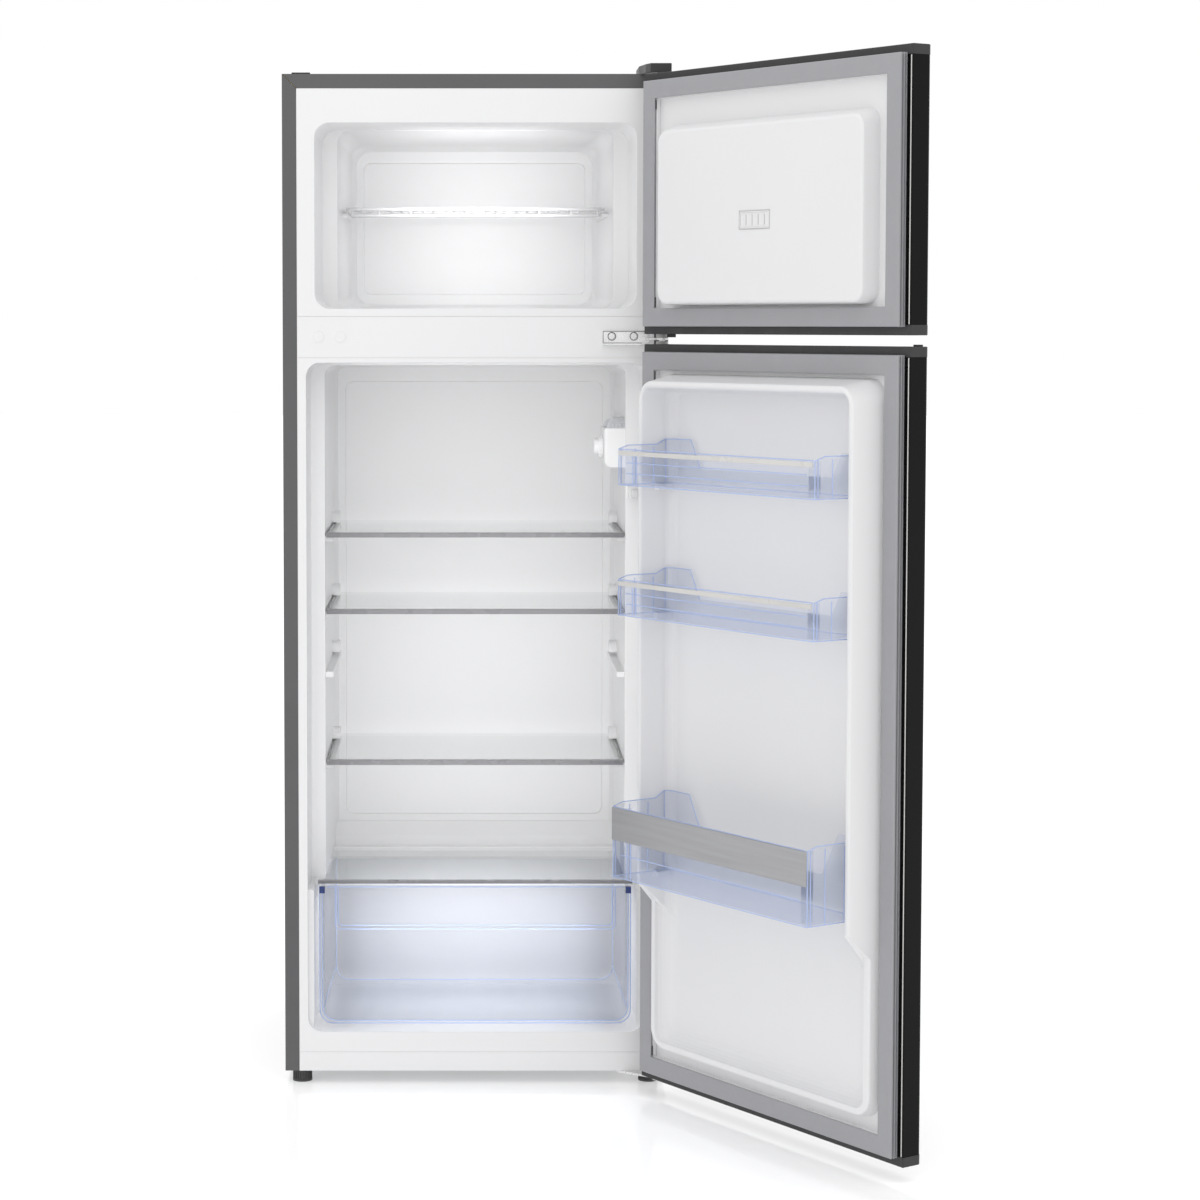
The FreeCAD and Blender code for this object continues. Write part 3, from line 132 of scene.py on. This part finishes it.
def clear(name, colour, rough, facing, edge, ior=1.49, frost=0.0, metallic=0.0):
    """A thin see-through material: tinted, faintly cloudy, and denser where it is seen edge on."""
    material, tree, shader = new_material(name)
    darker = [channel * 0.94 for channel in colour]
    clouds = noise(tree, 9.0, 2.0)
    tree.links.new(two_tone(tree, clouds, darker, colour), shader.inputs["Base Color"])
    gloss = noise(tree, 40.0, 3.0)
    tree.links.new(spread(tree, gloss, rough * 0.6, rough * 1.4), shader.inputs["Roughness"])
    waves = noise(tree, 25.0, 2.0)
    tree.links.new(bump(tree, waves, 0.05 + frost, 0.0004), shader.inputs["Normal"])
    dense = tree.nodes.new("ShaderNodeMapRange")
    dense.interpolation_type = "SMOOTHSTEP"
    dense.inputs["From Min"].default_value = 0.35
    dense.inputs["To Min"].default_value = facing
    dense.inputs["To Max"].default_value = edge
    tree.links.new(edge_weight(tree), dense.inputs["Value"])
    tree.links.new(dense.outputs["Result"], shader.inputs["Alpha"])
    shader.inputs["IOR"].default_value = ior
    shader.inputs["Metallic"].default_value = metallic
    return material


# ---------------------------------------------------------------- materials by slot

MATERIALS = {
    "shell_grey": surface("grey painted steel", (0.095, 0.095, 0.098), 0.42, coat=0.1),
    "door_black": surface("black painted steel", (0.003, 0.003, 0.0032), 0.26, grain=500, relief=0.04,
                          specular=0.12),
    "galvanised": surface("galvanised steel", (0.52, 0.53, 0.54), 0.42, 0.85, vary=0.12, cloud=45),
    "liner_white": surface("moulded white liner", (0.83, 0.83, 0.835), 0.34, vary=0.005, grain=160,
                            relief=0.04, uneven=0.02),
    # A darker copy of the liner white: painted shade that holds the door panels down, since the fill panels
    # light them too strongly.
    "door_white": surface("white door liner", (0.78, 0.78, 0.787), 0.34, vary=0.005, grain=160,
                            relief=0.04, uneven=0.02),
    "white_plastic": surface("white plastic", (0.83, 0.83, 0.835), 0.38, vary=0.006, grain=300,
                             relief=0.08, uneven=0.04),
    "cap_black": surface("black moulded cap", (0.035, 0.035, 0.037), 0.40, grain=1400, relief=0.3,
                         specular=0.35),
    "gasket_grey": surface("grey gasket", (0.335, 0.335, 0.352), 0.5, vary=0.012, cloud=40, grain=500,
                           relief=0.12),
    "bush_grey": surface("grey nylon", (0.55, 0.55, 0.54), 0.4),
    "clear_glass": clear("shelf glass", (0.86, 0.90, 0.89), 0.02, 0.03, 0.27, 1.5, metallic=0.5),
    "shelf_trim": surface("grey shelf trim", (0.20, 0.20, 0.21), 0.28, coat=0.3),
    "clear_blue": clear("clear blue plastic", (0.52, 0.62, 0.90), 0.06, 0.08, 0.30),
    "bin_trim": surface("warm grey trim", (0.62, 0.61, 0.59), 0.30),
    "bottle_trim": surface("brushed aluminium band", (0.36, 0.36, 0.37), 0.34, 0.75, grain=900,
                           stretch=(1, 1, 30)),
    "stop_blue": surface("dark blue stop", (0.012, 0.035, 0.17), 0.25),
    "zinc": surface("bright zinc plate", (0.72, 0.72, 0.72), 0.30, 0.6, vary=0.05, cloud=60),
    "compressor_black": surface("black enamel", (0.012, 0.012, 0.012), 0.25, coat=0.6),
    "copper": surface("copper tube", (0.72, 0.36, 0.22), 0.25, 1.0, vary=0.12, cloud=40),
    "rubber_black": surface("black rubber", (0.02, 0.02, 0.02), 0.7, relief=0.4),
    "foam": surface("polyurethane foam", (0.80, 0.72, 0.50), 0.9, grain=300, relief=0.6),
    "wire_white": surface("white enamelled wire", (0.60, 0.60, 0.61), 0.3),
    "lamp_clear": clear("frosted lamp cover", (0.74, 0.75, 0.78), 0.3, 0.9, 0.98, frost=0.2),
    "foot_dark": surface("dark moulded foot", (0.06, 0.06, 0.061), 0.5, grain=1200, relief=0.4),
}


BLUE_EDGE = surface("thick edge of clear blue plastic", (0.46, 0.55, 0.82), 0.2)
GLASS_EDGE = surface("ground glass edge", (0.045, 0.055, 0.052), 0.25)
DRAWER_CLEAR = clear("clear drawer plastic", (0.66, 0.73, 0.92), 0.06, 0.06, 0.20)


def paint_nodes():
    """Gives every CAD node its slot's material. The drawer's plastic is paler than the bins'."""
    for part in frame["record"]["subparts"]:
        slots = nodes[part["node"]].data.materials
        slots.clear()
        slots.append(MATERIALS[part["material_slot"]])
    nodes["crisper_drawer"].data.materials[0] = DRAWER_CLEAR


# ---------------------------------------------------------------- added pieces

BODY_OF = {node: body for body, names in frame["record"]["behaviour"]["bodies"].items() for node in names}


def add_piece(name, mesh, node, slot, swap=False):
    """Links a mesh that moves with a node's body and takes a slot's material; swap hides that node."""
    piece = bpy.data.objects.new(name, mesh)
    bpy.context.scene.collection.objects.link(piece)
    mesh.materials.append(MATERIALS[slot])
    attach(piece, BODY_OF[node])
    if swap:
        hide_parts(node)
    return piece


JOINTS = {joint["name"]: joint for joint in frame["record"]["behaviour"]["joints"]}
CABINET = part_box("outer_shell")
MIDDLE = (CABINET[0].x + CABINET[1].x) / 2
FRONT = CABINET[0].y
DOOR_HALF = (CABINET[1].x - CABINET[0].x) / 2
DOOR_BACK = -0.012


def on_door(door, side, depth, height):
    """Carries a point, given with the door shut as distance from the cabinet's middle, depth behind its
    front and height, to where the open door has it at rest."""
    joint = JOINTS[door + "_hinge"]
    pin = Vector(joint["pos_m"])
    angle = math.radians(-joint["range_deg"][0])
    across = MIDDLE + side - pin.x
    back = FRONT + depth - pin.y
    x = pin.x + across * math.cos(angle) - back * math.sin(angle)
    y = pin.y + across * math.sin(angle) + back * math.cos(angle)
    return (x, y, height)


def frame_mesh(name, door, section, low, high):
    """A mitred frame round a door: section is (distance from the door's edge, height over its back)."""
    corners = ((-1, 0), (1, 0), (1, 1), (-1, 1))
    points = []
    for sign, top in corners:
        for edge, rise in section:
            height = high - edge if top else low + edge
            points.append(on_door(door, sign * (DOOR_HALF - edge), DOOR_BACK + rise, height))
    count = len(section)
    faces = []
    for k in range(4):
        start, following = k * count, (k + 1) % 4 * count
        for i in range(count):
            j = (i + 1) % count
            faces.append((start + i, following + i, following + j, start + j))
    mesh = bpy.data.meshes.new(name)
    mesh.from_pydata(points, [], faces)
    mesh.validate()
    return mesh


def beads(name, paths, radius):
    """A mesh of round beads along straight-sided paths."""
    curve = bpy.data.curves.new(name, "CURVE")
    curve.dimensions = "3D"
    curve.bevel_depth = radius
    curve.bevel_resolution = 2
    curve.use_fill_caps = True
    for path in paths:
        line = curve.splines.new("POLY")
        line.points.add(len(path) - 1)
        for point, where in zip(line.points, path):
            point.co = (*where, 1)
    holder = bpy.data.objects.new(name, curve)
    mesh = bpy.data.meshes.new_from_object(holder)
    bpy.data.objects.remove(holder)
    for face in mesh.polygons:
        face.use_smooth = True
    return mesh


GASKET_LAP = 0.004


def add_gaskets():
    """Folded gaskets with mitred corners, and the white liner rim that their inner lips lie against.

    Both profiles are (distance from the door's edge, height over its back) in metres."""
    folds = [(0.0106, 0.0001), (0.0106, 0.0014), (0.0140, 0.0020), (0.0140, 0.0034), (0.0106, 0.0040),
             (0.0106, 0.0056), (0.0145, 0.0062), (0.0145, 0.0078), (0.0108, 0.0084), (0.0108, 0.0106),
             (0.0116, 0.0115), (0.0130, 0.0117), (0.0340, 0.0115), (0.0360, 0.0106), (0.0360, 0.0092),
             (0.0330, 0.0088), (0.0330, 0.0001)]
    rim = [(0.0331, 0.0002), (0.0358, 0.0002), (0.0358, 0.0058), (0.0352, 0.0065), (0.0331, 0.0065)]
    for door in ("freezer_door", "fridge_door"):
        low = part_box(door + "_gasket")[0].z - GASKET_LAP
        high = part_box(door + "_gasket")[1].z + GASKET_LAP
        mesh = frame_mesh(door + "_folded_gasket", door, folds[::-1], low, high)
        add_piece(door + "_folded_gasket", mesh, door + "_gasket", "gasket_grey", swap=True)
        mesh = frame_mesh(door + "_liner_rim", door, rim, low, high)
        add_piece(door + "_liner_rim", mesh, door + "_liner", "door_white")


def add_slots():
    """Black beads at the hinge-side corners: painted shade in the gaps where the gasket stands off the liner.
    """
    from_end, length = 0.034, 0.013
    for door in ("freezer_door", "fridge_door"):
        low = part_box(door + "_gasket")[0].z + from_end
        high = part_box(door + "_gasket")[1].z - from_end
        side = DOOR_HALF - 0.0364
        depth = DOOR_BACK + 0.0085
        paths = []
        for start, end in ((low, low + length), (high, high - length)):
            paths.append([on_door(door, side, depth, height) for height in (start, end)])
        name = door + "_corner_gap_shade"
        add_piece(name, beads(name, paths, 0.0009), door + "_gasket", "rubber_black")


def add_skin_beads():
    """Light grey beads along both long sides of the skin's rear flange: a painted highlight on the skin's
    bend.
    """
    for door in ("freezer_door", "fridge_door"):
        low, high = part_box(door + "_skin")
        paths = []
        for sign in (-1, 1):
            side = sign * (DOOR_HALF - 0.0031)
            ends = (low.z + 0.001, high.z - 0.001)
            paths.append([on_door(door, side, DOOR_BACK + 0.0001, height) for height in ends])
        name = door + "_flange_highlights"
        add_piece(name, beads(name, paths, 0.0008), door + "_skin", "bin_trim")


BIN_BACK = DOOR_BACK + 0.0055
BIN_HALF = 0.205
BIN_CHAMFER = 0.008
BIN_ROUND = 0.0028
BIN_BEND = 0.0008
BIN_SHOULDER = 0.005
TAB_LENGTH = 0.047
TAB_SLOPE = 12.0 / 22.0
EDGE = 0.0007


def bin_lines(half, depth, low, top, tab):
    """The moulded edges and ribs of a door bin, as paths of (side, depth, height)."""
    x = half - EDGE
    front = depth - EDGE
    back = BIN_BACK + EDGE
    chamfer = BIN_BACK + BIN_CHAMFER
    foot = low + EDGE
    near = [(x - BIN_ROUND, front), (x - BIN_BEND, front - BIN_BEND), (x, front - BIN_ROUND)]
    half_outline = near + [(x, chamfer), (x - BIN_CHAMFER, back)]
    outline = half_outline + [(-side, d) for side, d in reversed(half_outline)]
    lines = [[(side, d, foot) for side, d in outline + outline[:1]]]
    lines.append([(BIN_ROUND - x, front, top - EDGE), (x - BIN_ROUND, front, top - EDGE)])
    gap = low + (top - low) * 0.45
    for sign in (-1, 1):
        crown = top + (tab if sign > 0 else BIN_SHOULDER) - EDGE
        bend = (sign * (x - BIN_BEND), front - BIN_BEND)
        lines.append([(*bend, foot), (*bend, top - EDGE)])
        corner = (sign * x, chamfer, crown)
        shoulder = top + BIN_SHOULDER - EDGE
        lines.append([(sign * x, chamfer, foot), corner, (sign * (x - BIN_CHAMFER), back, crown)])
        lines.append([corner, (sign * x, BIN_BACK + 0.024, shoulder), (sign * x, depth - 0.018, shoulder),
                      (sign * x, depth - 0.002, top - EDGE)])
        for set_back in (0.006, 0.030, 0.062):
            lines.append([(sign * x, depth - set_back, foot), (sign * x, depth - set_back, top)])
    crown = top + tab - EDGE
    lines.append([(x - BIN_CHAMFER, back, crown), (half - TAB_LENGTH, back, crown),
                  (half - TAB_LENGTH - TAB_SLOPE * (crown - gap), back, gap)])
    for inset in (0.034, 0.042):
        lines.append([(half - inset, front, foot), (half - inset, front, top - 0.004)])
    wide = half - 0.018
    for share in (0.33, 0.62):
        height = low + (top - low) * share
        lines.append([(-wide, front - 0.0015, height), (wide, front - 0.0015, height)])
    return lines


def add_bin_lines():
    """Denser blue lines where the clear bins are thick: edges, corners and ribs."""
    bins = (("bin_upper", 0.0845, 0.012), ("bin_middle", 0.0845, 0.012), ("bottle_bin", 0.092, 0.014))
    for node, depth, tab in bins:
        low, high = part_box(node)[0].z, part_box(node)[1].z
        lines = bin_lines(BIN_HALF, depth, low, high - tab, tab)
        paths = [[on_door("fridge_door", *point) for point in line] for line in lines]
        piece = add_piece(node + "_edges", beads(node + "_edges", paths, EDGE), node, "clear_blue")
        piece.data.materials[0] = BLUE_EDGE


def add_mark_outlines():
    """Soft grey beads outlining the plain frame and four bars moulded on the freezer door's panel: painted
    shade along the edges of the moulded relief.
    """
    panel = 0.0153
    low, high, mark_half, rim_width = 1.213, 1.237, 0.0312, 0.002
    pitch, bar_half, bar_inset = 0.0125, 0.0018, 0.005
    paths = []
    for inset in (0.0, rim_width):
        half, z0, z1 = mark_half - inset, low - 0.0002 + inset, high + 0.0002 - inset
        corners = ((-half, z0), (half, z0), (half, z1), (-half, z1), (-half, z0))
        paths.append([on_door("freezer_door", side, panel, height) for side, height in corners])
    for k in range(4):
        for edge in (-bar_half, bar_half):
            side = (k - 1.5) * pitch + edge
            ends = (low + bar_inset, high - bar_inset)
            paths.append([on_door("freezer_door", side, panel, height) for height in ends])
    mesh = beads("freezer_mark_edge_shade", paths, 0.0005)
    add_piece("freezer_mark_edge_shade", mesh, "freezer_door_liner", "bush_grey")


def ring(centre, radius, steps=16):
    """A closed circle in the plane of the cabinet's front."""
    points = []
    for k in range(steps + 1):
        angle = 2 * math.pi * k / steps
        points.append((centre[0] + radius * math.cos(angle), centre[1], centre[2] + radius * math.sin(angle)))
    return points


def add_hinge_outlines():
    """Black beads along the middle hinge plate's edges and round its two screws: painted shade in the creases
    of its pressed edges and screw recesses.
    """
    screws = [MIDDLE + 0.1926, MIDDLE + 0.2238]
    face = FRONT - 0.0026
    z0, z1 = 1.0612, 1.0777
    left, right = MIDDLE + 0.1803, MIDDLE + 0.2436
    foot = (left, face, z0)
    paths = [[foot, (left, face, z1), (right, face, z1)], [foot, (right - 0.008, face, z0)]]
    paths += [ring((side, face, z1 - 0.007), 0.0056) for side in screws]
    name = "middle_hinge_edge_shade"
    add_piece(name, beads(name, paths, 0.0005), "middle_hinge", "cap_black")


DRAWER_CORNER = 0.020


def rounded(x0, x1, z0, z1, r, d, steps=6):
    """Points of a U-shaped line in a plane of constant depth: down one side, along, up the other."""
    points = [(x0, d, z1)]
    for centre, start in ((x0 + r, 180), (x1 - r, 270)):
        for k in range(steps + 1):
            angle = math.radians(start + 90 * k / steps)
            points.append((centre + r * math.cos(angle), d, z0 + r + r * math.sin(angle)))
    points.append((x1, d, z1))
    return points


def add_drawer_lines():
    """Moulded edges of the clear drawer: its rim, grip recess, back wall and floor corners."""
    low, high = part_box("crisper_drawer")
    front = low.y
    edge = 0.0008
    lines = []
    for inset in (edge, 0.0045):
        sides = (low.x + inset, high.x - inset)
        lines.append(rounded(*sides, low.z + inset, high.z - edge, DRAWER_CORNER, front + edge))
    rim = high.z - edge
    lines.append([(low.x + 0.012, front + edge, rim), (high.x - 0.012, front + edge, rim)])
    grip = high.z - 0.062
    grip_half, inner_half, back_half = 0.2015, 0.1975, 0.2115
    back = high.y - 0.004
    curved = ((grip_half, grip, rim, 0.007, front + edge),
              (inner_half, grip + 0.004, high.z - 0.004, 0.006, front + 0.006),
              (back_half, low.z + 0.0055, high.z - 0.007, DRAWER_CORNER, back))
    for half, *rest in curved:
        lines.append(rounded(MIDDLE - half, MIDDLE + half, *rest))
    for sign in (-1, 1):
        near = (MIDDLE + sign * 0.219, front + 0.008, low.z + 0.022)
        lines.append([near, (MIDDLE + sign * back_half, back, low.z + 0.027)])
    name = "crisper_drawer_edges"
    piece = add_piece(name, beads(name, lines, edge), "crisper_drawer", "clear_blue")
    piece.data.materials[0] = BLUE_EDGE


def add_glass_edges():
    """Dark ground side edges of the shelf glasses."""
    radius = 0.0016
    for name in ("upper", "middle", "lower"):
        node = "shelf_glass_" + name
        low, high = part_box(node)
        middle = (low.z + high.z) / 2
        paths = []
        for side in (low.x + radius, high.x - radius):
            paths.append([(side, low.y + 0.006, middle), (side, high.y - 0.006, middle)])
        piece = add_piece(node + "_edges", beads(node + "_edges", paths, radius), node, "clear_glass")
        piece.data.materials[0] = GLASS_EDGE


# ---------------------------------------------------------------- studio

CAMERA_LENS = 86.37
CAMERA_TILT = 3.55
CAMERA_SHIFT = (0.1142, -0.0817)
CAMERA_HEIGHT = 1.089
CAMERA_SIDE = -0.0177
CAMERA_DISTANCE = 4.076
FLOOR_SIZE = 60.0
FLOOR_GLOW = 0.28
OVERHEAD_POWER = 22
WORLD = 1.0
FRONT_POWER = 3.5
FRIDGE_POWER = 0.57
FREEZER_POWER = 0.38
CRISPER_POWER = 0.22
DRAWER_POWER = 0.42


def place(side, ahead, height):
    """A point to the right of the cabinet's middle, ahead of its front and above the floor."""
    return Vector((MIDDLE + side, FRONT - ahead, height))


def add_camera():
    """Looks straight at the cabinet's front, slightly down, framed with a small lens shift."""
    data = bpy.data.cameras.new("camera")
    camera = bpy.data.objects.new("camera", data)
    bpy.context.scene.collection.objects.link(camera)
    data.lens = CAMERA_LENS
    data.sensor_width = 36.0
    data.shift_x, data.shift_y = CAMERA_SHIFT
    data.clip_end = 200
    camera.location = place(CAMERA_SIDE, CAMERA_DISTANCE, CAMERA_HEIGHT)
    camera.rotation_euler = (math.radians(90 - CAMERA_TILT), 0, 0)
    bpy.context.scene.camera = camera


def add_light(name, where, aim, width, height, power, seen=True, spread_angle=180):
    """A softbox of the given size, aimed at a point."""
    data = bpy.data.lights.new(name, "AREA")
    data.shape = "RECTANGLE"
    data.size = width
    data.size_y = height
    data.energy = power
    data.spread = math.radians(spread_angle)
    light = bpy.data.objects.new(name, data)
    light.location = where
    light.rotation_euler = (aim - where).to_track_quat("-Z", "Y").to_euler()
    light.visible_camera = seen
    light.visible_glossy = seen
    bpy.context.scene.collection.objects.link(light)


def add_floor():
    """A wide pale floor with a soft gloss."""
    half = FLOOR_SIZE / 2
    mesh = bpy.data.meshes.new("floor")
    corners = [(-half, -half, 0), (half, -half, 0), (half, half, 0), (-half, half, 0)]
    mesh.from_pydata(corners, [], [(0, 1, 2, 3)])
    floor = bpy.data.objects.new("floor", mesh)
    bpy.context.scene.collection.objects.link(floor)
    material = surface("floor", (0.88, 0.88, 0.88), 0.10, vary=0.004, cloud=1.5, relief=0.0)
    shader = material.node_tree.nodes["Principled BSDF"]
    shader.inputs["Emission Color"].default_value = (1, 1, 1, 1)
    shader.inputs["Emission Strength"].default_value = FLOOR_GLOW
    mesh.materials.append(material)


def add_studio():
    """White surroundings, two softboxes, and soft panels that brighten the compartments and drawer."""
    world = bpy.data.worlds.new("studio")
    bpy.context.scene.world = world
    world.use_nodes = True
    world.node_tree.nodes["Background"].inputs["Color"].default_value = (1, 1, 1, 1)
    world.node_tree.nodes["Background"].inputs["Strength"].default_value = WORLD
    bpy.context.scene.view_settings.view_transform = "Standard"
    add_light("front softbox", place(-0.3, 4.2, 1.6), place(0, 0, 0.75), 2.4, 2.4, FRONT_POWER)
    add_light("overhead softbox", place(0.2, 1.2, 4.5), place(0.2, 0.6, 0), 3.0, 3.0, OVERHEAD_POWER)
    fills = (("fridge", 0.30, 1.0, 0.38, FRIDGE_POWER), ("freezer", 1.16, 1.33, 0.20, FREEZER_POWER),
             ("crisper", 0.09, 0.26, 0.34, CRISPER_POWER))
    for name, low, high, width, power in fills:
        middle = (low + high) / 2
        where, inward = place(0, 0.01, middle), place(0, -1, middle)
        add_light(name + " fill", where, inward, width, high - low, power, False, 110)
    low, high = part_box("crisper_drawer")
    top = Vector((MIDDLE, low.y + 0.12, high.z - 0.012))
    add_light("drawer fill", top, top - Vector((0, 0, 1)), 0.36, 0.16, DRAWER_POWER, False)


paint_nodes()
add_gaskets()
add_slots()
add_skin_beads()
add_hinge_outlines()
add_mark_outlines()
add_drawer_lines()
add_bin_lines()
add_glass_edges()
add_floor()
add_studio()
add_camera()
